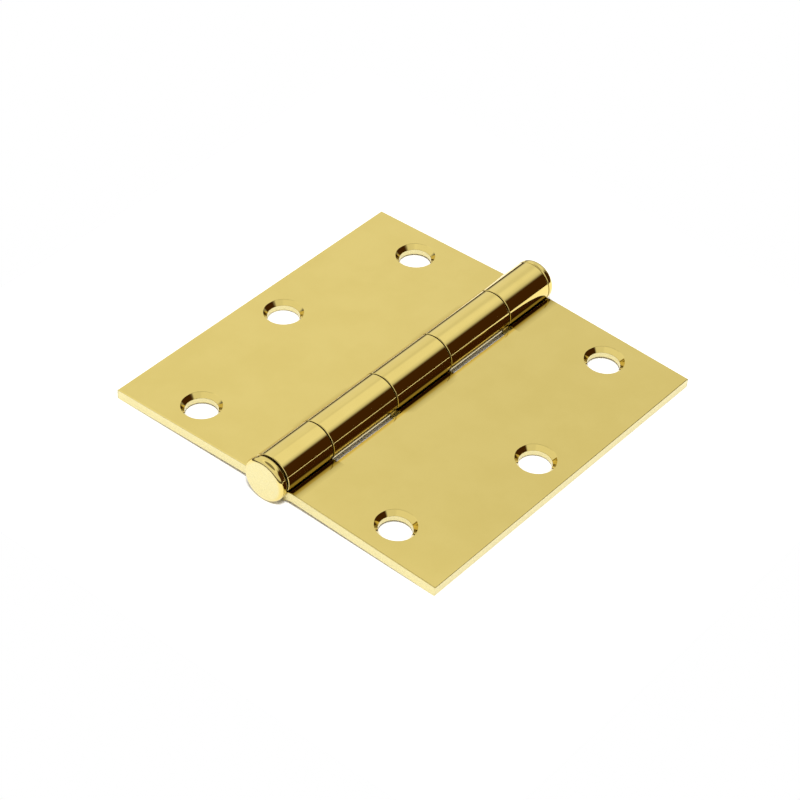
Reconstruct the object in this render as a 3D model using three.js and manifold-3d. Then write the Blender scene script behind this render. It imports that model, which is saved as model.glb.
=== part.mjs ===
// Loose-pin butt hinge, laid open on a table with its barrel and countersinks up.
//
// Units are millimetres and +Z is up. X runs across the open hinge, Y along the pin, and the origin is on
// the table under the middle of the hinge. The barrel and the outer edges of both leaves touch the table,
// so each leaf slopes down a little from the barrel.
//
// A leaf is drawn in its own frame: x runs out from the pin axis, y along the pin and z up off its face.
import * as THREE from "three";
import { mergeVertices } from "three/addons/utils/BufferGeometryUtils.js";
import Module from "manifold-3d";

const wasm = await Module();
wasm.setup();

// Leaves
const leafHeight = 88.9; // along the pin
const leafWidth = 44.45; // from the pin axis to the outer edge
const sheet = 2.4; // thickness of the sheet
const closedGap = 2.72; // between the two faces when the hinge is shut

// Barrel: each knuckle is the leaf's own sheet, passed under the pin and rolled round it
const barrelRadius = 5.1;
const endKnuckle = 14.25; // length of the first and last knuckle
const middleKnuckle = 18.4; // length of the middle knuckle
const knuckleGap = 0.3; // between neighbouring knuckles
const seamGap = 0.3; // from the rolled tip down to the sheet
const joggleFoot = 1.3; // from the pin axis to where the sheet starts to rise
const joggleAngle = THREE.MathUtils.degToRad(30); // steepest slope of that rise
const notchGap = 1.1; // from a knuckle of the other leaf to the edge of its notch

// Countersunk screw holes: two near the ends and a middle one nearer the outer edge
const holeRadius = 3.6;
const sinkRadius = 4.62;
const sinkAngle = THREE.MathUtils.degToRad(82); // full angle of the cone
const endHoleInset = 8.25; // from a leaf's end to its end hole
const endHoleEdge = 17.15; // from the outer edge to an end hole
const middleHoleEdge = 8.55; // from the outer edge to the middle hole

// Loose pin with a button head
const pinClearance = 0.06; // round the shaft, in the bore
const headOverhang = 0.15; // of the head past the barrel, all round
const headThickness = 2.35;
const headGap = 0.3; // from the head to the first knuckle
const headRounding = 1.0; // round the rim of the flat face
const headChamfer = 0.2; // round the back of the head
const pinTipChamfer = 1.0;

// Button plug pressed into the last knuckle
const plugClearance = 0.03; // round the shank, in the bore
const plugDepth = 6.0; // length of the shank in the bore
const plugGap = 0.15; // from the button to the last knuckle
const plugThickness = 2.05;
const plugRounding = 1.3; // round the rim of the button
const plugChamfer = 0.2; // round the back of the button
const pinToPlug = 1.0; // from the pin's tip to the shank

// Steps of the round shapes, and how far a cutter runs past what it cuts
const arcStep = THREE.MathUtils.degToRad(6);
const seamStep = THREE.MathUtils.degToRad(0.25);
const latheSegments = 60;
const overrun = 1.0;

// Sizes that follow from the ones above
const boreRadius = barrelRadius - sheet;
const pinRadius = boreRadius - pinClearance;
const shankRadius = boreRadius - plugClearance;
const headRadius = barrelRadius + headOverhang;
const faceDrop = closedGap / 2; // from the pin axis down to a leaf's face
const backDrop = faceDrop + sheet; // from the pin axis down to a leaf's back
const joggleRise = boreRadius - faceDrop;
const joggleRadius = joggleRise / (2 * (1 - Math.cos(joggleAngle))); // of the middle of the sheet
const joggleEnd = joggleFoot + 2 * joggleRadius * Math.sin(joggleAngle);
const footCentre = joggleRadius + sheet / 2 - barrelRadius;
const endCentre = -joggleRadius - sheet / 2 - faceDrop;
const tightRadius = joggleRadius - sheet / 2;
const wideRadius = joggleRadius + sheet / 2;
const notchEdge = barrelRadius + notchGap;
const sinkDepth = (sinkRadius - holeRadius) / Math.tan(sinkAngle / 2);
const axisHeight = Math.max(barrelRadius, headRadius); // of the pin axis above the table
const leafDiagonal = Math.hypot(leafWidth, backDrop);
const leafSlope = Math.asin(axisHeight / leafDiagonal) - Math.asin(backDrop / leafDiagonal);
const halfHeight = leafHeight / 2;
const headBack = -halfHeight - headGap;
const headFace = headBack - headThickness;
const buttonBack = halfHeight + plugGap;
const buttonFace = buttonBack + plugThickness;
const shankEnd = halfHeight - plugDepth;
const pinTip = shankEnd - pinToPlug;

// Where each knuckle ends and the next begins, along the pin
const knuckleEdges = [
  -halfHeight,
  endKnuckle - halfHeight,
  -middleKnuckle / 2,
  middleKnuckle / 2,
  halfHeight - endKnuckle,
  halfHeight,
];

/** Points evenly stepped along an arc round (x, y), from one angle to another. */
function arcPoints(x, y, radius, from, to) {
  const steps = Math.ceil(Math.abs(to - from) / arcStep);
  const points = [];
  for (let i = 0; i <= steps; i += 1) {
    const angle = from + ((to - from) * i) / steps;
    points.push(new THREE.Vector2(x + radius * Math.cos(angle), y + radius * Math.sin(angle)));
  }
  return points;
}

/** A manifold solid from a closed geometry. */
function solidOf(geometry) {
  const bare = geometry.clone();
  bare.deleteAttribute("normal");
  bare.deleteAttribute("uv");
  const merged = mergeVertices(bare, 1e-3);
  const vertProperties = new Float32Array(merged.attributes.position.array);
  const triVerts = new Uint32Array(merged.index.array);
  return new wasm.Manifold(new wasm.Mesh({ numProp: 3, vertProperties, triVerts }));
}

/** A geometry from a manifold solid. */
function geometryOf(solid) {
  const mesh = solid.getMesh();
  const geometry = new THREE.BufferGeometry();
  geometry.setAttribute("position", new THREE.BufferAttribute(mesh.vertProperties, 3));
  geometry.setIndex(new THREE.BufferAttribute(mesh.triVerts, 1));
  geometry.computeVertexNormals();
  return geometry;
}

/** A turned solid round the pin axis, from [radius, y] pairs and arcs of Vector2 points. */
function turned(points) {
  const profile = points.map((point) => (Array.isArray(point) ? new THREE.Vector2(...point) : point));
  return new THREE.LatheGeometry(profile, latheSegments);
}

/** Height of the sheet's face, where it passes under the pin and rises to the leaf, at a distance out. */
function faceHeight(out) {
  const crest = joggleEnd - wideRadius * Math.sin(joggleAngle);
  if (out < crest) {
    return footCentre - Math.sqrt(tightRadius ** 2 - Math.max(0, out - joggleFoot) ** 2);
  }
  return endCentre + Math.sqrt(wideRadius ** 2 - Math.max(0, joggleEnd - out) ** 2);
}

/** How far the rolled tip comes down past the level of the pin axis before it meets the seam gap. */
function tipAngle() {
  const gapAt = (angle) => -barrelRadius * Math.sin(angle) - faceHeight(barrelRadius * Math.cos(angle));
  let angle = Math.PI / 2;
  while (gapAt(angle) < seamGap) {
    angle -= seamStep;
  }
  return angle;
}

/** End view of a leaf with its rolled knuckle, in the leaf's own frame. */
function leafSection() {
  const quarter = Math.PI / 2;
  const tip = -tipAngle();
  return new THREE.Shape([
    new THREE.Vector2(leafWidth, -backDrop),
    new THREE.Vector2(leafWidth, -faceDrop),
    ...arcPoints(joggleEnd, endCentre, wideRadius, quarter, quarter + joggleAngle).slice(0, -1),
    ...arcPoints(joggleFoot, footCentre, tightRadius, joggleAngle - quarter, -quarter),
    ...arcPoints(0, 0, boreRadius, 3 * quarter, tip),
    ...arcPoints(0, 0, barrelRadius, tip, 3 * quarter),
    ...arcPoints(joggleFoot, footCentre, wideRadius, -quarter, joggleAngle - quarter).slice(0, -1),
    ...arcPoints(joggleEnd, endCentre, tightRadius, quarter + joggleAngle, quarter),
  ]);
}

/** Clearance for one knuckle of the other leaf, open past the leaf's end where the knuckle is the last. */
function notchCutter(index) {
  const first = index === 0;
  const last = index === knuckleEdges.length - 2;
  const start = knuckleEdges[index] - (first ? overrun : knuckleGap / 2);
  const end = knuckleEdges[index + 1] + (last ? overrun : knuckleGap / 2);
  const reach = notchEdge + barrelRadius + overrun;
  const cutter = new THREE.BoxGeometry(reach, end - start, 2 * (barrelRadius + overrun));
  cutter.translate(notchEdge - reach / 2, (start + end) / 2, 0);
  return solidOf(cutter);
}

/** A countersunk screw hole through the leaf, seen from its face. */
function holeCutter(x, y) {
  const cutter = turned([
    [0, -backDrop - overrun],
    [holeRadius, -backDrop - overrun],
    [holeRadius, -faceDrop - sinkDepth],
    [sinkRadius, -faceDrop],
    [sinkRadius, -faceDrop + overrun],
    [0, -faceDrop + overrun],
  ]);
  cutter.rotateX(Math.PI / 2);
  cutter.translate(x, y, 0);
  return solidOf(cutter);
}

/** A leaf in its own frame, with clearance for the other leaf's knuckles. */
function leafGeometry(otherKnuckles) {
  const blank = new THREE.ExtrudeGeometry(leafSection(), { depth: leafHeight, bevelEnabled: false });
  blank.rotateX(Math.PI / 2);
  blank.translate(0, halfHeight, 0);
  const endHole = halfHeight - endHoleInset;
  const cutters = [
    ...otherKnuckles.map(notchCutter),
    holeCutter(leafWidth - endHoleEdge, -endHole),
    holeCutter(leafWidth - middleHoleEdge, 0),
    holeCutter(leafWidth - endHoleEdge, endHole),
  ];
  return geometryOf(cutters.reduce((leaf, cutter) => leaf.subtract(cutter), solidOf(blank)));
}

/** Brass-plated mesh with its own polished material. */
function brassMesh(name, geometry, roughness) {
  const material = new THREE.MeshStandardMaterial({ color: 0xdcc878, roughness, metalness: 1 });
  const mesh = new THREE.Mesh(geometry, material);
  mesh.name = name;
  return mesh;
}

/** Leaf on the +X side, with the first, middle and last knuckles. */
function threeKnuckleLeaf() {
  const geometry = leafGeometry([1, 3]);
  geometry.rotateY(leafSlope);
  return brassMesh("leaf_three_knuckle", geometry, 0.12);
}

/** Leaf on the -X side, with the two knuckles between those of the other leaf. */
function twoKnuckleLeaf() {
  const geometry = leafGeometry([0, 2, 4]);
  geometry.rotateZ(Math.PI);
  geometry.rotateY(-leafSlope);
  return brassMesh("leaf_two_knuckle", geometry, 0.12);
}

/** Loose pin, its button head at the -Y end. */
function hingePin() {
  const rim = headRadius - headRounding;
  const geometry = turned([
    [0, headFace],
    ...arcPoints(rim, headFace + headRounding, headRounding, -Math.PI / 2, 0),
    [headRadius, headBack - headChamfer],
    [headRadius - headChamfer, headBack],
    [pinRadius, headBack],
    [pinRadius, pinTip - pinTipChamfer],
    [pinRadius - pinTipChamfer, pinTip],
    [0, pinTip],
  ]);
  return brassMesh("hinge_pin", geometry, 0.1);
}

/** Button plug that closes the +Y end of the barrel. */
function barrelPlug() {
  const rim = barrelRadius - plugRounding;
  const geometry = turned([
    [0, shankEnd],
    [shankRadius, shankEnd],
    [shankRadius, buttonBack],
    [barrelRadius - plugChamfer, buttonBack],
    [barrelRadius, buttonBack + plugChamfer],
    ...arcPoints(rim, buttonFace - plugRounding, plugRounding, 0, Math.PI / 2),
    [0, buttonFace],
  ]);
  return brassMesh("barrel_plug", geometry, 0.1);
}

const hinge = new THREE.Group();
hinge.name = "door_hinge";
hinge.add(threeKnuckleLeaf());
hinge.add(twoKnuckleLeaf());
hinge.add(hingePin());
hinge.add(barrelPlug());
hinge.position.set(0, -(headFace + buttonFace) / 2, axisHeight);

export default hinge;
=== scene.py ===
"""Polished brass butt hinge lying open on a pale table.

Every length is in metres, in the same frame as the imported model: X across the open hinge, Y along the pin
and Z up from the table. A leaf is drawn in its own frame, with x out from the pin axis, y along the pin and
z up off its face, and is then turned down to the table.
"""

import logging
import math
from collections.abc import Callable
from dataclasses import dataclass, replace
from enum import Enum

import bpy
from mathutils import Matrix, Vector


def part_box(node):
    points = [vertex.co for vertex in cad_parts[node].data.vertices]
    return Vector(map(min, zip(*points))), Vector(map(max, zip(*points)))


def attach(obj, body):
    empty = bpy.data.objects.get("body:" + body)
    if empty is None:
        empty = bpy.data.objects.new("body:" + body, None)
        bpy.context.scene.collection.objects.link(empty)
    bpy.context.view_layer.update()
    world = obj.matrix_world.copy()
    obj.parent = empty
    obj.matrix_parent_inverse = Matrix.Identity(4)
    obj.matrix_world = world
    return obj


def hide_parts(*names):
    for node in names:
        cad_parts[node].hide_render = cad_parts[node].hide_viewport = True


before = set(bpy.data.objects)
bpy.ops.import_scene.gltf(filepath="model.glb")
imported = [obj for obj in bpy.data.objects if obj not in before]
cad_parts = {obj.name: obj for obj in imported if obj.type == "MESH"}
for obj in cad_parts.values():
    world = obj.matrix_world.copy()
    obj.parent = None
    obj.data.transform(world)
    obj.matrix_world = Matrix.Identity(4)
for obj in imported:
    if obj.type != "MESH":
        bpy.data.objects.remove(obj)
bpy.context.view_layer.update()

log = logging.getLogger("door_hinge")

MM = 0.001
WORN_AND_SHEEN = "worn_and_sheen"  # point attribute: 0 on a rolled or polished face, 1 on a sheared edge, which gets a rougher finish and a paler colour that is a painted highlight
PAINTED_SHADE = "painted_shade"  # point attribute: painted shade, 1 in the fold beside the barrel, where the colour is darkened to stand for shade and the barrel's dark reflection

Color = tuple[float, float, float]


# ----------------------------------------------------------------------------------------------------
# Outlines and meshes
# ----------------------------------------------------------------------------------------------------


@dataclass(frozen=True)
class Corner:
    """A corner of an outline and the radius that rounds it."""

    across: float
    along: float
    radius: float = 0.0


@dataclass(frozen=True)
class ProfilePoint:
    """A point of a rounded outline with its outward normal and how worn the metal is there, which also sets a
    painted highlight of paler colour.
    """

    across: float
    along: float
    normal_across: float
    normal_along: float
    worn_and_sheen: float = 0.0


@dataclass(frozen=True)
class RoundedOutline:
    """An open outline whose inner corners are rounded, with the metal on the left of its travel."""

    corners: tuple[Corner, ...]
    arc_steps: int = 6

    def points(self) -> list[ProfilePoint]:
        """Points along the outline with their normals.

        Returns:
            The points in order. Each rounded corner gives one point more than its steps.
        """
        out = []
        places = [Vector((c.across, c.along)) for c in self.corners]
        for i, (corner, place) in enumerate(zip(self.corners, places)):
            before = (place - places[i - 1]).normalized() if i else None
            after = (places[i + 1] - place).normalized() if i + 1 < len(places) else None
            if before is None or after is None:
                heading = after if before is None else before
                out.append(self._point(place, heading))
                continue
            turn = before.angle_signed(after)
            steps = self.arc_steps if corner.radius else 1
            reach = corner.radius * math.tan(abs(turn) / 2)
            start = place - before * reach
            side = Vector((before.y, -before.x)) * math.copysign(corner.radius, turn)
            centre = start + side
            for step in range(steps + 1):
                bent = Matrix.Rotation(-turn * step / steps, 2)
                heading = bent @ before
                out.append(self._point(centre - bent @ side, heading))
        return out

    @staticmethod
    def _point(place: Vector, heading: Vector) -> ProfilePoint:
        """The outline's point at a place, its normal square to the heading."""
        return ProfilePoint(place.x, place.y, heading.y, -heading.x)


class MeshDraft:
    """Points, normals and faces gathered before they become one mesh."""

    def __init__(self) -> None:
        """Starts with nothing."""
        self.points: list[Vector] = []
        self.normals: list[Vector] = []
        self.worn_and_sheen: list[float] = []
        self.painted_shade: list[float] = []
        self.faces: list[tuple[int, ...]] = []

    def add_point(self, place: Vector, normal: Vector, worn_and_sheen: float = 0.0, painted_shade: float = 0.0) -> int:
        """Adds a point.

        Args:
            place: Where it is.
            normal: Its outward normal.
            worn_and_sheen: 1 where the metal is sheared, with a rougher finish and a painted highlight of
                paler colour, 0 where it's polished.
            painted_shade: Painted shade, 1 in the fold beside the barrel where the colour is darkened, 0
                elsewhere.

        Returns:
            Its index.
        """
        self.points.append(place)
        self.normals.append(normal.normalized())
        self.worn_and_sheen.append(worn_and_sheen)
        self.painted_shade.append(painted_shade)
        return len(self.points) - 1

    def add_face(self, *corners: int) -> None:
        """Adds a face, wound so that it looks the way its points' normals do.

        Args:
            corners: Its points in turn, either way round.
        """
        places = [self.points[c] for c in corners]
        facing = sum((self.normals[c] for c in corners), Vector())
        middle = sum(places, Vector()) / len(places)
        area = Vector()
        for a, b in zip(places, places[1:] + places[:1]):
            area += (a - middle).cross(b - middle)
        self.faces.append(corners if area.dot(facing) > 0 else corners[::-1])

    def bridge(self, one: list[int], other: list[int], closed: bool) -> None:
        """Joins two rows of points of the same length with faces.

        Args:
            one: The first row.
            other: The second row.
            closed: Whether the rows run round in a ring.
        """
        last = len(one) if closed else len(one) - 1
        for i in range(last):
            j = (i + 1) % len(one)
            self.add_face(one[i], one[j], other[j], other[i])

    def to_object(self, name: str, placing: Matrix) -> bpy.types.Object:
        """Makes the mesh and its object.

        Args:
            name: Name of both.
            placing: Where the draft's frame lies in the row frame.

        Returns:
            The object, linked to the scene and shaded smooth with the draft's own normals.
        """
        mesh = bpy.data.meshes.new(name)
        mesh.from_pydata([placing @ p for p in self.points], [], self.faces)
        turning = placing.to_3x3()
        mesh.shade_smooth()
        mesh.normals_split_custom_set_from_vertices([turning @ n for n in self.normals])
        for mask, values in ((WORN_AND_SHEEN, self.worn_and_sheen), (PAINTED_SHADE, self.painted_shade)):
            mesh.attributes.new(mask, "FLOAT", "POINT").data.foreach_set("value", values)
        mesh.validate()
        obj = bpy.data.objects.new(name, mesh)
        bpy.context.scene.collection.objects.link(obj)
        return obj


# ----------------------------------------------------------------------------------------------------
# Finishes
# ----------------------------------------------------------------------------------------------------


class Effect(Enum):
    """Shader groups that several finishes share."""

    POLISH = "polish_lines"
    PLATING = "plating_tone_and_painted_light"


class Nodes:
    """A node tree with short calls to add and join nodes."""

    def __init__(self, tree: bpy.types.NodeTree) -> None:
        """Takes the tree to fill."""
        self.tree = tree

    def add(self, kind: str, **settings: object) -> bpy.types.Node:
        """Adds a node.

        Args:
            kind: Its type.
            settings: Its settings by name.

        Returns:
            The node.
        """
        node = self.tree.nodes.new(kind)
        for key, value in settings.items():
            setattr(node, key, value)
        return node

    def join(self, start: bpy.types.NodeSocket, end: bpy.types.NodeSocket) -> None:
        """Joins an output to an input."""
        self.tree.links.new(start, end)

    def math(
        self, operation: str, first: object, second: object = None, clamp: bool = False
    ) -> bpy.types.NodeSocket:
        """Adds a Math node.

        Args:
            operation: Its operation.
            first: A socket or a number for the first input.
            second: The same for the second.
            clamp: Whether to clamp the result to 0 to 1.

        Returns:
            Its output.
        """
        node = self.add("ShaderNodeMath", operation=operation, use_clamp=clamp)
        for socket, value in zip(node.inputs, (first, second)):
            if isinstance(value, bpy.types.NodeSocket):
                self.join(value, socket)
            elif value is not None:
                socket.default_value = value
        return node.outputs[0]

    def spread(
        self,
        value: bpy.types.NodeSocket,
        low: float,
        high: float,
        out_low: float = 0.0,
        out_high: float = 1.0,
    ) -> bpy.types.NodeSocket:
        """Maps a value smoothly from one range to another.

        Args:
            value: What to map.
            low: Value that gives out_low.
            high: Value that gives out_high.
            out_low: Result at low.
            out_high: Result at high.

        Returns:
            The mapped value.
        """
        node = self.add("ShaderNodeMapRange", interpolation_type="SMOOTHSTEP")
        self.join(value, node.inputs["Value"])
        node.inputs["From Min"].default_value = low
        node.inputs["From Max"].default_value = high
        node.inputs["To Min"].default_value = out_low
        node.inputs["To Max"].default_value = out_high
        return node.outputs["Result"]

    def mix(self, share: bpy.types.NodeSocket, first: object, second: object) -> bpy.types.NodeSocket:
        """Mixes two colours.

        Args:
            share: How much of the second.
            first: A colour socket, or a colour.
            second: The same.

        Returns:
            The mixed colour.
        """
        node = self.add("ShaderNodeMix", data_type="RGBA")
        self.join(share, node.inputs["Factor"])
        for name, value in (("A", first), ("B", second)):
            socket = [s for s in node.inputs if s.name == name and s.type == "RGBA"][0]
            if isinstance(value, bpy.types.NodeSocket):
                self.join(value, socket)
            else:
                socket.default_value = (*value, 1.0)
        return [s for s in node.outputs if s.type == "RGBA"][0]


class EffectShelf:
    """Builds each shared effect once and hands it to the finishes."""

    def __init__(self) -> None:
        """Starts with no effect built."""
        self._built: dict[Effect, bpy.types.NodeTree] = {}

    def place(self, nodes: Nodes, effect: Effect, values: dict[str, float]) -> bpy.types.Node:
        """Puts an effect into a material.

        Args:
            nodes: The material's nodes.
            effect: Which effect.
            values: Its inputs for this material.

        Returns:
            The group node.
        """
        if effect not in self._built:
            makers = {Effect.POLISH: self._polish_lines, Effect.PLATING: self._plating_tone_and_painted_light}
            self._built[effect] = makers[effect]()
        node = nodes.add("ShaderNodeGroup")
        node.node_tree = self._built[effect]
        for name, value in values.items():
            node.inputs[name].default_value = value
        return node

    @staticmethod
    def _new_group(
        effect: Effect, inputs: dict[str, float], outputs: dict[str, str]
    ) -> tuple[Nodes, bpy.types.Node, bpy.types.Node]:
        """Starts a group.

        Args:
            effect: Which effect it is, which names it.
            inputs: Float inputs and their defaults.
            outputs: Outputs and their socket types.

        Returns:
            Its nodes, its input node and its output node.
        """
        tree = bpy.data.node_groups.new(effect.value, "ShaderNodeTree")
        for name, value in inputs.items():
            socket = tree.interface.new_socket(name, in_out="INPUT", socket_type="NodeSocketFloat")
            socket.default_value = value
        for name, kind in outputs.items():
            tree.interface.new_socket(name, in_out="OUTPUT", socket_type=kind)
        nodes = Nodes(tree)
        return nodes, nodes.add("NodeGroupInput"), nodes.add("NodeGroupOutput")

    def _polish_lines(self) -> bpy.types.NodeTree:
        """Fine buffing lines along the pin and a slow waviness of the sheet.

        Returns:
            A group whose Mark goes from 0 to 1 and whose Height is for a Bump node.
        """
        inputs = {"Line Width": 0.05 * MM, "Line Length": 6 * MM, "Wave": 0.5}
        outputs = {"Mark": "NodeSocketFloat", "Height": "NodeSocketFloat"}
        nodes, given, made = self._new_group(Effect.POLISH, inputs, outputs)
        place = nodes.add("ShaderNodeTexCoord").outputs["Object"]
        apart = nodes.add("ShaderNodeSeparateXYZ")
        nodes.join(place, apart.inputs[0])
        across_x = nodes.math("DIVIDE", apart.outputs["X"], given.outputs["Line Width"])
        across_z = nodes.math("DIVIDE", apart.outputs["Z"], given.outputs["Line Width"])
        along = nodes.math("DIVIDE", apart.outputs["Y"], given.outputs["Line Length"])
        stretched = nodes.add("ShaderNodeCombineXYZ")
        for value, socket in zip((across_x, along, across_z), stretched.inputs):
            nodes.join(value, socket)
        lines = nodes.add("ShaderNodeTexNoise", noise_dimensions="3D")
        nodes.join(stretched.outputs[0], lines.inputs["Vector"])
        lines.inputs["Scale"].default_value = 1.0
        lines.inputs["Detail"].default_value = 3.0
        mark = nodes.spread(lines.outputs["Fac"], 0.35, 0.75)
        waves = nodes.add("ShaderNodeTexNoise", noise_dimensions="3D")
        nodes.join(place, waves.inputs["Vector"])
        waves.inputs["Scale"].default_value = 90.0
        waves.inputs["Detail"].default_value = 1.0
        slow = nodes.math("MULTIPLY", waves.outputs["Fac"], given.outputs["Wave"])
        fine = nodes.math("MULTIPLY", mark, 0.02)
        nodes.join(mark, made.inputs["Mark"])
        nodes.join(nodes.math("ADD", slow, fine), made.inputs["Height"])
        return nodes.tree

    def _plating_tone_and_painted_light(self) -> bpy.types.NodeTree:
        """Soft uneven tone of the plating, with paler colour where the metal is sheared or rubbed, a painted
        highlight, and painted shade in the fold beside the barrel.

        Returns:
            A group whose Tone is a slow mottle, whose Worn And Sheen is the mask of paler, rougher sheared
            metal with the paler colour a painted highlight, and whose Painted Shade is the mask of painted
            shade in the fold.
        """
        inputs = {"Mottle Size": 9 * MM, "Edge Wear And Sheen": 1.0}
        outputs = {"Tone": "NodeSocketFloat", "Worn And Sheen": "NodeSocketFloat", "Painted Shade": "NodeSocketFloat"}
        nodes, given, made = self._new_group(Effect.PLATING, inputs, outputs)
        place = nodes.add("ShaderNodeTexCoord").outputs["Object"]
        scaled = nodes.add("ShaderNodeVectorMath", operation="DIVIDE")
        nodes.join(place, scaled.inputs[0])
        nodes.join(given.outputs["Mottle Size"], scaled.inputs[1])
        mottle = nodes.add("ShaderNodeTexNoise", noise_dimensions="3D")
        nodes.join(scaled.outputs[0], mottle.inputs["Vector"])
        mottle.inputs["Scale"].default_value = 1.0
        mottle.inputs["Detail"].default_value = 4.0
        nodes.join(nodes.spread(mottle.outputs["Fac"], 0.3, 0.7), made.inputs["Tone"])
        # painted shade: the fold mask that darkens the colour beside the barrel
        painted_shade = nodes.add("ShaderNodeAttribute", attribute_name=PAINTED_SHADE)
        nodes.join(painted_shade.outputs["Fac"], made.inputs["Painted Shade"])
        # paler colour on sheared and faced-off metal: a painted highlight, with a rougher finish
        worn_and_sheen = nodes.add("ShaderNodeAttribute", attribute_name=WORN_AND_SHEEN)
        grain = nodes.add("ShaderNodeTexNoise", noise_dimensions="3D")
        nodes.join(place, grain.inputs["Vector"])
        grain.inputs["Scale"].default_value = 1500.0
        ragged = nodes.spread(grain.outputs["Fac"], 0.2, 0.6, 0.85, 1.0)
        mask = nodes.math("MULTIPLY", worn_and_sheen.outputs["Fac"], given.outputs["Edge Wear And Sheen"])
        nodes.join(nodes.math("MULTIPLY", mask, ragged, clamp=True), made.inputs["Worn And Sheen"])
        return nodes.tree


@dataclass(frozen=True)
class BrassFinish:
    """Bright brass plating over steel."""

    name: str
    deep: Color = (0.715, 0.568, 0.176)
    light: Color = (0.737, 0.590, 0.190)
    # paler colour of sheared and faced-off metal: a painted highlight standing for the bright table it
    # reflects
    sheared_sheen: Color = (0.70, 0.625, 0.33)
    # painted shade: the dark colour in the fold beside the barrel, standing for shade and the barrel's dark
    # reflection
    painted_shade_tone: Color = (0.26, 0.19, 0.035)
    mottle_size: float = 9 * MM
    polish: float = 0.045
    sheared_roughness: float = 0.22
    line_depth: float = 0.02
    line_width: float = 0.06 * MM
    line_length: float = 7 * MM
    wave: float = 0.15
    bump_strength: float = 0.02
    bump_distance: float = 0.1 * MM

    def material(self, shelf: EffectShelf) -> bpy.types.Material:
        """Makes the material.

        Args:
            shelf: Where the shared effects come from.

        Returns:
            A metal whose tone, roughness and surface vary with the plating and the buffing, with painted
            shade in the fold and a painted highlight on sheared metal.
        """
        made = bpy.data.materials.new(self.name)
        made.use_nodes = True
        nodes = Nodes(made.node_tree)
        made.node_tree.nodes.clear()
        plating = shelf.place(nodes, Effect.PLATING, {"Mottle Size": self.mottle_size, "Edge Wear And Sheen": 1.0})
        buffing = {"Line Width": self.line_width, "Line Length": self.line_length, "Wave": self.wave}
        lines = shelf.place(nodes, Effect.POLISH, buffing)
        metal = nodes.add("ShaderNodeBsdfPrincipled")
        metal.inputs["Metallic"].default_value = 1.0
        face = nodes.mix(plating.outputs["Tone"], self.deep, self.light)
        # painted shade in the fold beside the barrel, then the painted highlight of paler sheared metal
        face = nodes.mix(plating.outputs["Painted Shade"], face, self.painted_shade_tone)
        nodes.join(nodes.mix(plating.outputs["Worn And Sheen"], face, self.sheared_sheen), metal.inputs["Base Color"])
        lined = nodes.math("MULTIPLY_ADD", lines.outputs["Mark"], self.line_depth)
        lined.node.inputs[2].default_value = self.polish
        worn_and_sheen = nodes.math("MULTIPLY", plating.outputs["Worn And Sheen"], self.sheared_roughness)
        nodes.join(nodes.math("ADD", lined, worn_and_sheen), metal.inputs["Roughness"])
        bump = nodes.add("ShaderNodeBump")
        bump.inputs["Strength"].default_value = self.bump_strength
        bump.inputs["Distance"].default_value = self.bump_distance
        nodes.join(lines.outputs["Height"], bump.inputs["Height"])
        nodes.join(bump.outputs["Normal"], metal.inputs["Normal"])
        out = nodes.add("ShaderNodeOutputMaterial")
        nodes.join(metal.outputs["BSDF"], out.inputs["Surface"])
        return made


# ----------------------------------------------------------------------------------------------------
# Leaves
# ----------------------------------------------------------------------------------------------------


class Side(Enum):
    """Which side of the pin a leaf lies on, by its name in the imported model."""

    THREE_KNUCKLE = "leaf_three_knuckle"
    TWO_KNUCKLE = "leaf_two_knuckle"


@dataclass(frozen=True)
class Bend:
    """A stretch of the sheet's middle line that turns steadily, by `turn` radians, anticlockwise positive."""

    length: float
    turn: float = 0.0


@dataclass(frozen=True)
class SheetPose:
    """Where the middle of the sheet is, which way it runs and which way its face looks, in the end view."""

    place: Vector
    heading: Vector
    face: Vector


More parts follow.
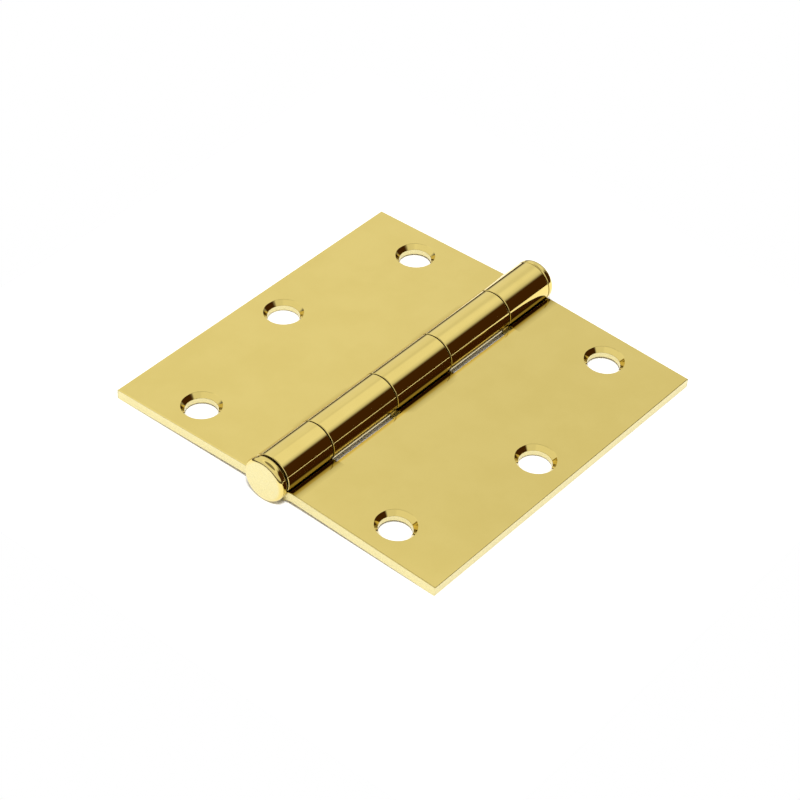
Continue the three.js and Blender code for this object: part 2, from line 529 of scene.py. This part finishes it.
@dataclass
class Leaf:
    """One leaf: a stamped sheet with countersunk holes, cranked down and rolled into knuckles.

    `painted_shade` is how far out from the pin axis the painted shade in the fold is darkest and where it
    ends, and `painted_shade_fade` how far it takes to fade beside a notch. `end_hole` is an end hole's place
    out from the pin axis and along the pin, and `middle_hole` the middle hole's place out. `cell`,
    `fine_cell`, `strap_cell` and `curl_step` space the mesh on the flat, the crank, the short strap and
    the roll, and `guard` is how close its lines stay to an edge.
    """

    side: Side
    body: str
    knuckles: tuple[int, ...]
    slope: float
    axis: Vector
    height: float
    width: float = 44.45 * MM
    sheet: float = 2.4 * MM
    face_drop: float = 1.36 * MM
    barrel_radius: float = 5.1 * MM
    joggle_foot: float = 1.3 * MM
    joggle_angle: float = math.radians(30)
    tip_angle: float = math.radians(13.7)
    notch_edge: float = 6.2 * MM
    end_knuckle: float = 14.25 * MM
    middle_knuckle: float = 18.4 * MM
    knuckle_gap: float = 0.3 * MM
    hole_radius: float = 3.68 * MM
    sink_radius: float = 4.62 * MM
    sink_angle: float = math.radians(82)
    end_hole: tuple[float, float] = (27.3 * MM, 36.2 * MM)
    middle_hole: float = 35.9 * MM
    face_roll: float = 0.22 * MM
    back_roll: float = 0.15 * MM
    rim_flat: float = 0.15 * MM
    rim_roll: float = 0.12 * MM
    waist_roll: float = 0.2 * MM
    # painted shade: out from the pin axis, where the fold's darkened colour is darkest and where it ends
    painted_shade: tuple[float, float] = (5.4 * MM, 8.4 * MM)
    painted_shade_fade: float = 2.5 * MM
    cell: float = 0.8 * MM
    fine_cell: float = 0.3 * MM
    strap_cell: float = 0.6 * MM
    curl_step: float = math.radians(3)
    guard: float = 0.4 * MM
    hole_reach: float = 6.4 * MM

    def bends(self) -> list[Bend]:
        """The sheet's middle line.

        Returns:
            The flat, the crank's two arcs, the short strap and the roll, from the outer edge on.
        """
        rise = self.barrel_radius - self.sheet - self.face_drop
        radius = rise / (2 * (1 - math.cos(self.joggle_angle)))
        run = 2 * radius * math.sin(self.joggle_angle)
        arc = radius * self.joggle_angle
        curl = self.barrel_radius - self.sheet / 2
        turn = 1.5 * math.pi + self.tip_angle
        return [
            Bend(self.width - self.joggle_foot - run),
            Bend(arc, self.joggle_angle),
            Bend(arc, -self.joggle_angle),
            Bend(self.joggle_foot),
            Bend(curl * turn, -turn),
        ]

    def pose(self, distance: float) -> SheetPose:
        """Where the sheet is at a distance along its middle line.

        Args:
            distance: From the outer edge.

        Returns:
            The pose there, in the end view of the leaf's own frame.
        """
        place = Vector((self.width, -self.face_drop - self.sheet / 2))
        angle = math.pi
        left = distance
        bends = self.bends()
        for bend in bends:
            run = left if bend is bends[-1] else min(left, bend.length)
            turn = bend.turn * run / bend.length
            if turn:
                radius = bend.length / bend.turn
                end = angle + turn
                chord = Vector((math.sin(end) - math.sin(angle), math.cos(angle) - math.cos(end)))
                place += radius * chord
            else:
                place += run * Vector((math.cos(angle), math.sin(angle)))
            angle += turn
            left -= run
            if left <= 0 and bend is not bends[-1]:
                break
        heading = Vector((math.cos(angle), math.sin(angle)))
        return SheetPose(place, heading, Vector((heading.y, -heading.x)))

    def notch_distance(self) -> float:
        """How far along the sheet the notches start.

        Returns:
            The distance from the outer edge along the middle line.
        """
        flat, crest = self.bends()[:2]
        radius = crest.length / crest.turn
        reach = self.width - flat.length - self.notch_edge
        return flat.length + radius * math.asin(reach / radius)

    @staticmethod
    def _stations(stops: list[float], step: float, guard: float) -> list[float]:
        """Evenly spread stations between stops, with one close to each stop.

        Args:
            stops: Places that must be stations.
            step: Largest spacing.
            guard: Distance of the close ones.

        Returns:
            The stations in order.
        """
        out = [stops[0]]
        for start, end in zip(stops, stops[1:]):
            close = min(guard, (end - start) / 3)
            inner = (start + close, end - close)
            count = max(1, math.ceil((inner[1] - inner[0]) / step))
            out += [inner[0] + (inner[1] - inner[0]) * i / count for i in range(count + 1)]
            out.append(end)
        return out

    def rows(self) -> list[float]:
        """Spaces the mesh along the sheet.

        Returns:
            Distances from the outer edge to the rolled tip.
        """
        flat, crest, foot, strap, curl = self.bends()
        notch = self.notch_distance()
        out = self._stations([0.0, flat.length], self.cell, self.guard)
        cranked = flat.length + crest.length + foot.length
        for start, end, step in (
            (flat.length, notch, self.fine_cell),
            (notch, cranked, self.fine_cell),
            (cranked, cranked + strap.length, self.strap_cell),
        ):
            stations = self._stations([start, end], step, self.guard)
            out += stations[1:]
        start = out[-1]
        count = math.ceil(abs(curl.turn) / self.curl_step)
        rolled = [start + curl.length * i / count for i in range(1, count)]
        end = start + curl.length
        out += [r for r in rolled if r < end - 1.5 * self.guard]
        out += [end - self.guard, end]
        return out

    def columns(self) -> list[float]:
        """Spaces the mesh along the pin.

        Returns:
            Places from one end of the leaf to the other.
        """
        half = self.height / 2
        shift = self.knuckle_gap / 2 * (1 if 0 in self.knuckles else -1)
        outer = half - self.end_knuckle + shift
        inner = self.middle_knuckle / 2 - shift
        return self._stations([-half, -outer, -inner, inner, outer, half], self.cell, self.guard)

    def _knuckle_ends(self) -> list[float]:
        """Where the five knuckles begin and end along the pin."""
        half = self.height / 2
        inner = self.middle_knuckle / 2
        return [-half, self.end_knuckle - half, -inner, inner, half - self.end_knuckle, half]

    def _is_sheet(self, distance: float, along: float) -> bool:
        """Whether there is sheet at a place on the blank, holes apart.

        Args:
            distance: Along the sheet from the outer edge.
            along: Along the pin from the middle.

        Returns:
            False in the notches for the other leaf's knuckles.
        """
        if distance < self.notch_distance():
            return True
        return sum(along > edge for edge in self._knuckle_ends()[1:-1]) in self.knuckles

    def holes(self) -> list[Vector]:
        """Centres of the screw holes on the blank, as distance along the sheet and along the pin."""
        out, along = self.end_hole
        places = [(out, -along), (self.middle_hole, 0.0), (out, along)]
        return [Vector((self.width - x, y)) for x, y in places]

    def _edge_profile(self) -> list[ProfilePoint]:
        """The sheet's edge.

        Returns:
            Points from the face out and down to the back.
        """
        corners = (
            Corner(-self.face_roll, 0.0),
            Corner(0.0, 0.0, self.face_roll),
            Corner(0.0, self.sheet, self.back_roll),
            Corner(-self.back_roll, self.sheet),
        )
        return RoundedOutline(corners).points()

    def _hole_profile(self) -> list[ProfilePoint]:
        """A countersunk hole's wall.

        Returns:
            Points from the face down to the back, as reach in from the straight wall.
        """
        cone = self.sink_radius - self.hole_radius
        corners = (
            Corner(-cone - self.rim_flat, 0.0),
            Corner(-cone, 0.0, self.rim_roll),
            Corner(0.0, cone / math.tan(self.sink_angle / 2), self.waist_roll),
            Corner(0.0, self.sheet, self.back_roll),
            Corner(-self.back_roll - 0.03 * MM, self.sheet),
        )
        points = RoundedOutline(corners, arc_steps=5).points()
        # the straight wall of the hole is marked for the paler colour, a painted highlight
        return [replace(p, worn_and_sheen=float(p.normal_across > 0.98)) for p in points]

    def _sheet_point(self, draft: MeshDraft, place: Vector, outward: Vector, point: ProfilePoint) -> int:
        """Adds a point of the rolled sheet.

        Args:
            draft: Mesh to add to.
            place: On the blank, as distance along the sheet and along the pin.
            outward: Direction on the blank that leaves the metal, or zero inside the sheet.
            point: How far outward and how deep below the face, with its normal there.

        Returns:
            The point's index.
        """
        moved = place + outward * point.across
        pose = self.pose(moved.x)
        spot = pose.place + pose.face * (self.sheet / 2 - point.along)
        level = Vector((pose.heading.x, 0.0, pose.heading.y))
        up = Vector((pose.face.x, 0.0, pose.face.y))
        side = (level * outward.x + Vector((0.0, outward.y, 0.0))).normalized()
        normal = side * point.normal_across - up * point.normal_along
        # painted shade mask, on the face side of the sheet only
        painted_shade = self._painted_shade_at(moved) if point.along < self.sheet / 2 else 0.0
        return draft.add_point(Vector((spot.x, moved.y, spot.y)), normal, point.worn_and_sheen, painted_shade)

    def _painted_shade_at(self, place: Vector) -> float:
        """How much painted shade a place on the blank's face gets in the fold beside the barrel.

        Args:
            place: On the blank, as distance along the sheet and along the pin.

        Returns:
            1 at the bottom of the fold, falling to 0 out on the flat and beside the notches.
        """
        if place.x > sum(bend.length for bend in self.bends()[:4]):
            return 0.0
        out = self.width - place.x
        deepest, edge = self.painted_shade
        ends = self._knuckle_ends()
        inside = max(min(place.y - ends[k], ends[k + 1] - place.y) for k in self.knuckles)
        reach = min(1.0, max(0.0, inside / self.painted_shade_fade))
        if 0 in self.knuckles and not ends[1] <= place.y <= ends[4]:
            reach = 1.0
        edge = self.notch_edge + (edge - self.notch_edge) * math.sqrt(reach)
        depth = min(1.0, max(0.0, (edge - out) / (edge - deepest)))
        return depth * depth * (3 - 2 * depth)

    def build(self) -> bpy.types.Object:
        """Builds the leaf.

        Returns:
            The leaf as one closed mesh, turned down to the table.
        """
        draft = MeshDraft()
        rows, columns = self.rows(), self.columns()
        patches = [self._patch(rows, columns, hole) for hole in self.holes()]
        cells = {
            (i, j)
            for i in range(len(rows) - 1)
            for j in range(len(columns) - 1)
            if self._is_sheet((rows[i] + rows[i + 1]) / 2, (columns[j] + columns[j + 1]) / 2)
        }
        outward = self._outward(cells)
        edge = self._edge_profile()
        # sheared edges are marked for the paler colour, a painted highlight, and a rougher finish
        sheared_sheen = [replace(p, worn_and_sheen=max(0.0, p.normal_across) ** 4) for p in edge]
        face, back = ProfilePoint(0.0, 0.0, 0.0, -1.0), ProfilePoint(0.0, self.sheet, 0.0, 1.0)
        column_of: dict[tuple[int, int], list[int]] = {}

        def stack(i: int, j: int) -> list[int]:
            """The points through the sheet at a station.

            Args:
                i: Row of the station.
                j: Column of the station.

            Returns:
                Their indices, face first and back last.
            """
            if (i, j) not in column_of:
                away = outward.get((i, j))
                trimmed = i == 0 or j in (0, len(columns) - 1)
                profile = (sheared_sheen if trimmed else edge) if away else (face, back)
                direction = away or Vector((0.0, 0.0))
                place = Vector((rows[i], columns[j]))
                column_of[i, j] = [self._sheet_point(draft, place, direction, p) for p in profile]
            return column_of[i, j]

        for i, j in cells:
            ring = [(i, j), (i + 1, j), (i + 1, j + 1), (i, j + 1)]
            if not any(a <= i < b and c <= j < d for a, b, c, d in patches):
                for end in (0, -1):
                    draft.add_face(*(stack(*corner)[end] for corner in ring))
            neighbours = [(i, j - 1), (i + 1, j), (i, j + 1), (i - 1, j)]
            for start, (one, other) in enumerate(zip(ring, ring[1:] + ring[:1])):
                if neighbours[start] not in cells:
                    draft.bridge(stack(*one), stack(*other), closed=False)
        for patch, hole in zip(patches, self.holes()):
            self._cut_hole(draft, stack, patch, hole, rows, columns)
        return draft.to_object(f"{self.side.value}_sheet", self._placing())

    def _patch(self, rows: list[float], columns: list[float], hole: Vector) -> tuple[int, int, int, int]:
        """The square of cells that a hole's rings take up.

        Args:
            rows: Distances along the sheet.
            columns: Places along the pin.
            hole: The hole's centre on the blank.

        Returns:
            The first and last row, then the first and last column.
        """

        def nearest(lines: list[float], at: float) -> int:
            """The line closest to a place."""
            return min(range(len(lines)), key=lambda k: abs(lines[k] - at))

        reach = self.hole_reach
        first, last = nearest(rows, hole.x - reach), nearest(rows, hole.x + reach)
        return first, last, nearest(columns, hole.y - reach), nearest(columns, hole.y + reach)

    @staticmethod
    def _outward(cells: set[tuple[int, int]]) -> dict[tuple[int, int], Vector]:
        """Which way the metal ends at each station on the blank's edge.

        Args:
            cells: The cells that hold sheet.

        Returns:
            A direction for each station on an edge, with both of its parts at a corner.
        """
        found: dict[tuple[int, int], set[tuple[int, int]]] = {}
        for i, j in cells:
            for step, ends in (
                ((-1, 0), ((i, j), (i, j + 1))),
                ((1, 0), ((i + 1, j), (i + 1, j + 1))),
                ((0, -1), ((i, j), (i + 1, j))),
                ((0, 1), ((i, j + 1), (i + 1, j + 1))),
            ):
                if (i + step[0], j + step[1]) not in cells:
                    for station in ends:
                        found.setdefault(station, set()).add(step)
        return {
            station: Vector((sum(s[0] for s in steps), sum(s[1] for s in steps)))
            for station, steps in found.items()
        }

    def _cut_hole(
        self,
        draft: MeshDraft,
        stack: Callable[[int, int], list[int]],
        patch: tuple[int, int, int, int],
        hole: Vector,
        rows: list[float],
        columns: list[float],
    ) -> None:
        """Fills a square of cells with rings round a countersunk hole.

        Args:
            draft: Mesh to add to.
            stack: Gives the points through the sheet at a station.
            patch: First and last row and column of the square.
            hole: The hole's centre on the blank.
            rows: Distances along the sheet.
            columns: Places along the pin.
        """
        a, b, c, d = patch
        ring = [(i, c) for i in range(a, b)] + [(b, j) for j in range(c, d)]
        ring += [(i, d) for i in range(b, a, -1)] + [(a, j) for j in range(d, c, -1)]
        profile = self._hole_profile()
        square = [Vector((rows[i], columns[j])) for i, j in ring]
        inward = [(hole - place).normalized() for place in square]
        wall = [hole - direction * self.hole_radius for direction in inward]
        loops = [
            [self._sheet_point(draft, place, way, point) for place, way in zip(wall, inward)]
            for point in profile
        ]
        for one, other in zip(loops, loops[1:]):
            draft.bridge(one, other, closed=True)
        for end, point in ((0, profile[0]), (-1, profile[-1])):
            rim = [place + way * point.across for place, way in zip(wall, inward)]
            flat = ProfilePoint(0.0, point.along, 0.0, point.normal_along)
            still = Vector((0.0, 0.0))
            middles = [(one + other) / 2 for one, other in zip(square, rim)]
            halfway = [self._sheet_point(draft, middle, still, flat) for middle in middles]
            outer = [stack(*station)[end] for station in ring]
            draft.bridge(outer, halfway, closed=True)
            draft.bridge(halfway, loops[end], closed=True)

    def _placing(self) -> Matrix:
        """Where the leaf's own frame lies in the row frame.

        Returns:
            The slope down to the table, the half turn of the left leaf and the move to the axis.
        """
        turn = Matrix.Rotation(self.slope, 4, "Y")
        if self.side is Side.TWO_KNUCKLE:
            turn = Matrix.Rotation(-self.slope, 4, "Y") @ Matrix.Rotation(math.pi, 4, "Z")
        return Matrix.Translation(self.axis) @ turn

    def dress(self, obj: bpy.types.Object, finish: bpy.types.Material) -> None:
        """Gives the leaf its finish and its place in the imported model.

        Args:
            obj: The leaf.
            finish: Its material.
        """
        obj.data.materials.append(finish)
        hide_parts(self.side.value)
        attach(obj, self.body)


# ----------------------------------------------------------------------------------------------------
# Pin and plug
# ----------------------------------------------------------------------------------------------------


@dataclass
class Turned:
    """A piece turned on a lathe round the pin axis."""

    node: str
    body: str
    axis: Vector
    segments: int = 128
    ease: float = 0.1 * MM

    def corners(self) -> tuple[Corner, ...]:
        """The outline from the lower end of the axis to the upper, as radius and place along the pin."""
        raise NotImplementedError

    def worn_and_sheen_at(self, point: ProfilePoint) -> float:
        """How worn the metal is at a point of the outline, which also sets a painted highlight of paler
        colour.
        """
        return 0.0

    def build(self) -> bpy.types.Object:
        """Turns the outline round the axis.

        Returns:
            The piece as one closed mesh.
        """
        draft = MeshDraft()
        outline = RoundedOutline(self.corners(), arc_steps=8)
        profile = [replace(point, worn_and_sheen=self.worn_and_sheen_at(point)) for point in outline.points()]
        turns = [2 * math.pi * i / self.segments for i in range(self.segments)]
        rings = []
        for point in profile[1:-1]:
            ring = []
            for turn in turns:
                out = Vector((math.sin(turn), 0.0, math.cos(turn)))
                place = out * point.across + Vector((0.0, point.along, 0.0))
                normal = out * point.normal_across + Vector((0.0, point.normal_along, 0.0))
                ring.append(draft.add_point(place, normal, point.worn_and_sheen))
            rings.append(ring)
        for one, other in zip(rings, rings[1:]):
            draft.bridge(one, other, closed=True)
        for ring, point in ((rings[0], profile[0]), (rings[-1], profile[-1])):
            place, normal = Vector((0.0, point.along, 0.0)), Vector((0.0, point.normal_along, 0.0))
            centre = draft.add_point(place, normal, point.worn_and_sheen)
            for one, other in zip(ring, ring[1:] + ring[:1]):
                draft.add_face(one, other, centre)
        return draft.to_object(f"{self.node}_turned", Matrix.Translation(self.axis))

    def dress(self, obj: bpy.types.Object, finish: bpy.types.Material) -> None:
        """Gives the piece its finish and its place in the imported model.

        Args:
            obj: The piece.
            finish: Its material.
        """
        obj.data.materials.append(finish)
        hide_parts(self.node)
        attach(obj, self.body)


@dataclass
class Pin(Turned):
    """The loose pin, its button head at the near end of the barrel."""

    barrel_end: float = 44.45 * MM
    radius: float = 2.64 * MM
    tip: float = 37.45 * MM
    tip_chamfer: float = 1.0 * MM
    head_radius: float = 5.25 * MM
    head_gap: float = 0.42 * MM
    head_thickness: float = 2.23 * MM
    rim_rounding: float = 1.0 * MM
    back_rounding: float = 0.7 * MM

    def worn_and_sheen_at(self, point: ProfilePoint) -> float:
        """Paler over the flat of the head, which is faced off: a painted highlight."""
        on_head = point.along < -self.barrel_end - self.head_gap
        return max(0.0, -point.normal_along) ** 8 if on_head else 0.0

    def corners(self) -> tuple[Corner, ...]:
        """The pin's outline.

        Returns:
            Corners from the face of its head to its tip.
        """
        back = -self.barrel_end - self.head_gap
        face = back - self.head_thickness
        return (
            Corner(0.0, face),
            Corner(self.head_radius - self.rim_rounding - self.ease, face, 0.0),
            Corner(self.head_radius, face, self.rim_rounding),
            Corner(self.head_radius, back, self.back_rounding),
            Corner(self.radius, back, self.ease),
            Corner(self.radius, self.tip - self.tip_chamfer, self.ease),
            Corner(self.radius - self.tip_chamfer, self.tip, self.ease),
            Corner(self.radius / 4, self.tip, 0.0),
            Corner(0.0, self.tip),
        )


@dataclass
class Plug(Turned):
    """The button plug pressed into the far end of the barrel."""

    barrel_end: float = 44.45 * MM
    shank_radius: float = 2.67 * MM
    shank_length: float = 6.0 * MM
    button_radius: float = 5.1 * MM
    button_gap: float = 0.15 * MM
    button_thickness: float = 2.05 * MM
    rim_rounding: float = 1.3 * MM
    back_rounding: float = 0.25 * MM

    def corners(self) -> tuple[Corner, ...]:
        """The plug's outline.

        Returns:
            Corners from the end of its shank to the face of its button.
        """
        back = self.barrel_end + self.button_gap
        face = back + self.button_thickness
        shank = self.barrel_end - self.shank_length
        return (
            Corner(0.0, shank),
            Corner(self.shank_radius / 2, shank, 0.0),
            Corner(self.shank_radius, shank, self.ease),
            Corner(self.shank_radius, back, self.ease),
            Corner(self.button_radius, back, self.back_rounding),
            Corner(self.button_radius, face, self.rim_rounding),
            Corner(self.button_radius - self.rim_rounding - self.ease, face, 0.0),
            Corner(0.0, face),
        )


# ----------------------------------------------------------------------------------------------------
# Table, light and camera
# ----------------------------------------------------------------------------------------------------


@dataclass(frozen=True)
class Lamp:
    """A broad lamp that whitens the table and isn't mirrored in the metal."""

    heading: float
    elevation: float
    strength: float
    spread: float = 12.0


@dataclass(frozen=True)
class Studio:
    """A small white table in a white tent with a dark opening at the far right, and the camera.

    Headings and elevations are in degrees. `tent_foot` and `tent_roof` each hold two elevations and how
    bright the tent is at them. `tent_side` does the same between two cosines of the angle from the
    opening's heading.
    """

    table_size: float = 0.18
    table_drop: float = 0.02 * MM
    table_tone: Color = (0.82, 0.82, 0.82)
    table_roughness: float = 0.9
    tent: Color = (1.0, 1.0, 1.0)
    tent_foot: tuple[float, float, float, float] = (1.0, 13.0, 0.12, 0.97)
    tent_roof: tuple[float, float, float, float] = (45.0, 50.5, 1.0, 1.2)
    tent_side: tuple[float, float, float, float] = (-0.04, 0.18, 1.05, 0.955)
    overhead: Color = (0.3, 0.28, 0.24)
    overhead_edge: tuple[float, float] = (57.0, 63.0)
    opening: Color = (0.06, 0.022, 0.003)
    opening_top: tuple[float, float] = (35.0, 46.0)
    opening_heading: float = 40.0
    opening_half_width: tuple[float, float] = (30.0, 42.0)
    lamps: tuple[Lamp, ...] = (Lamp(-53.0, 63.0, 3.5),)
    azimuth: float = 36.98
    elevation: float = 40.909
    roll: float = 4.173
    distance: float = 0.57455
    aim_across: float = -1.083 * MM
    aim_up: float = -5.709 * MM
    lens: float = 118.62
    sensor: float = 36.0

    def lay_table(self) -> bpy.types.Object:
        """Lays the table under the hinge.

        Returns:
            The table, which isn't part of the object.
        """
        half = self.table_size / 2
        mesh = bpy.data.meshes.new("table")
        corners = [(-half, -half, 0), (half, -half, 0), (half, half, 0), (-half, half, 0)]
        mesh.from_pydata(corners, [], [(0, 1, 2, 3)])
        obj = bpy.data.objects.new("table", mesh)
        obj.location.z = -self.table_drop
        bpy.context.scene.collection.objects.link(obj)
        made = bpy.data.materials.new("table_white")
        made.use_nodes = True
        shader = made.node_tree.nodes["Principled BSDF"]
        shader.inputs["Base Color"].default_value = (*self.table_tone, 1.0)
        shader.inputs["Roughness"].default_value = self.table_roughness
        mesh.materials.append(made)
        return obj

    def light_tent(self) -> None:
        """Lights the scene with the tent all round and leaves its opening dark."""
        world = bpy.data.worlds.new("tent")
        world.use_nodes = True
        bpy.context.scene.world = world
        nodes = Nodes(world.node_tree)
        world.node_tree.nodes.clear()
        heading = nodes.add("ShaderNodeTexCoord").outputs["Generated"]
        apart = nodes.add("ShaderNodeSeparateXYZ")
        nodes.join(heading, apart.inputs[0])
        height = apart.outputs["Z"]
        below_top = self._climb(nodes, height, (*self.opening_top, 1.0, 0.0))
        level = nodes.add("ShaderNodeVectorMath", operation="MULTIPLY")
        nodes.join(heading, level.inputs[0])
        level.inputs[1].default_value = (1.0, 1.0, 0.0)
        unit = nodes.add("ShaderNodeVectorMath", operation="NORMALIZE")
        nodes.join(level.outputs[0], unit.inputs[0])
        facing = nodes.add("ShaderNodeVectorMath", operation="DOT_PRODUCT")
        nodes.join(unit.outputs[0], facing.inputs[0])
        middle = math.radians(self.opening_heading)
        facing.inputs[1].default_value = (math.cos(middle), math.sin(middle), 0.0)
        near, far = (math.cos(math.radians(a)) for a in self.opening_half_width)
        beside = nodes.spread(facing.outputs["Value"], far, near)
        under = nodes.math("LESS_THAN", height, 0.0)
        mask = nodes.math("MAXIMUM", nodes.math("MULTIPLY", below_top, beside), under)
        above = self._climb(nodes, height, (*self.overhead_edge, 0.0, 1.0))
        foot, roof = (self._climb(nodes, height, climb) for climb in (self.tent_foot, self.tent_roof))
        side = nodes.spread(facing.outputs["Value"], *self.tent_side)
        glow = nodes.math("MULTIPLY", nodes.math("MULTIPLY", foot, roof), side)
        cloth = nodes.mix(glow, (0.0, 0.0, 0.0), self.tent)
        cloth.node.clamp_factor = False
        seen = nodes.mix(mask, nodes.mix(above, cloth, self.overhead), self.opening)
        plain = nodes.add("ShaderNodeLightPath").outputs["Is Camera Ray"]
        background = nodes.add("ShaderNodeBackground")
        nodes.join(nodes.mix(plain, seen, self.tent), background.inputs["Color"])
        out = nodes.add("ShaderNodeOutputWorld")
        nodes.join(background.outputs[0], out.inputs["Surface"])

    @staticmethod
    def _climb(
        nodes: Nodes, height: bpy.types.NodeSocket, climb: tuple[float, float, float, float]
    ) -> bpy.types.NodeSocket:
        """Maps elevation in the tent to a value.

        Args:
            nodes: The tent's nodes.
            height: Sine of the elevation.
            climb: Two elevations in degrees, then the value at each.

        Returns:
            The value, which stays level below the first elevation and above the second.
        """
        low, high = (math.sin(math.radians(a)) for a in climb[:2])
        return nodes.spread(height, low, high, *climb[2:])

    def hang_lamps(self) -> None:
        """Hangs the lamps that whiten the table."""
        for number, lamp in enumerate(self.lamps):
            data = bpy.data.lights.new(f"lamp_{number}", "SUN")
            data.energy = lamp.strength
            data.angle = math.radians(lamp.spread)
            obj = bpy.data.objects.new(data.name, data)
            obj.rotation_euler = (0.0, math.radians(90 - lamp.elevation), math.radians(lamp.heading))
            obj.visible_glossy = False
            bpy.context.scene.collection.objects.link(obj)

    def set_camera(self, middle: Vector) -> bpy.types.Object:
        """Sets the camera over the near right corner.

        Args:
            middle: Middle of the pin axis.

        Returns:
            The camera.
        """
        turn, lift, roll = (math.radians(a) for a in (self.azimuth, self.elevation, self.roll))
        back = Vector((math.sin(turn) * math.cos(lift), -math.cos(turn) * math.cos(lift), math.sin(lift)))
        level = Vector((math.cos(turn), math.sin(turn), 0.0))
        upright = back.cross(level)
        right = level * math.cos(roll) + upright * math.sin(roll)
        up = upright * math.cos(roll) - level * math.sin(roll)
        place = middle + back * self.distance + level * self.aim_across + upright * self.aim_up
        data = bpy.data.cameras.new("camera")
        data.lens = self.lens
        data.sensor_width = self.sensor
        obj = bpy.data.objects.new("camera", data)
        obj.matrix_world = Matrix.Translation(place) @ Matrix((right, up, back)).transposed().to_4x4()
        bpy.context.scene.collection.objects.link(obj)
        bpy.context.scene.camera = obj
        return obj


# ----------------------------------------------------------------------------------------------------
# Making it all
# ----------------------------------------------------------------------------------------------------


def middle_of(node: str) -> Vector:
    """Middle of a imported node's box."""
    low, high = (Vector(corner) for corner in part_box(node))
    return (low + high) / 2


def leaf_slope(width: float, back_drop: float, axis_height: float) -> float:
    """How far a leaf slopes down for its outer edge to meet the table.

    Args:
        width: From the pin axis to the outer edge.
        back_drop: From the pin axis to the leaf's back.
        axis_height: Of the pin axis above the table.

    Returns:
        The slope in radians.
    """
    diagonal = math.hypot(width, back_drop)
    return math.asin(axis_height / diagonal) - math.asin(back_drop / diagonal)


def main() -> None:
    """Builds the hinge, its table, its light and its camera."""
    logging.basicConfig(level=logging.INFO, format="%(name)s: %(message)s")
    bpy.context.scene.view_settings.view_transform = "Standard"
    low, high = (Vector(corner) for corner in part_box("leaf_three_knuckle"))
    axis = Vector((0.0, (low.y + high.y) / 2, middle_of("hinge_pin").z))
    studio = Studio()
    studio.set_camera(axis)
    studio.lay_table()
    studio.light_tent()
    studio.hang_lamps()
    shelf = EffectShelf()
    leaf_brass = BrassFinish("leaf_brass_polished").material(shelf)
    pin_brass = BrassFinish("pin_brass_polished").material(shelf)
    slope = leaf_slope(Leaf.width, Leaf.face_drop + Leaf.sheet, axis.z)
    leaves = (
        Leaf(Side.THREE_KNUCKLE, "fixed_leaf", (0, 2, 4), slope, axis, high.y - low.y),
        Leaf(Side.TWO_KNUCKLE, "swinging_leaf", (1, 3), slope, axis, high.y - low.y),
    )
    for leaf in leaves:
        obj = leaf.build()
        leaf.dress(obj, leaf_brass)
        log.info("%s: %d faces", obj.name, len(obj.data.polygons))
    for piece in (Pin("hinge_pin", "loose_pin", axis), Plug("barrel_plug", "fixed_leaf", axis)):
        obj = piece.build()
        piece.dress(obj, pin_brass)
        log.info("%s: %d faces", obj.name, len(obj.data.polygons))
    bpy.context.view_layer.update()


if __name__ == "__main__":
    main()
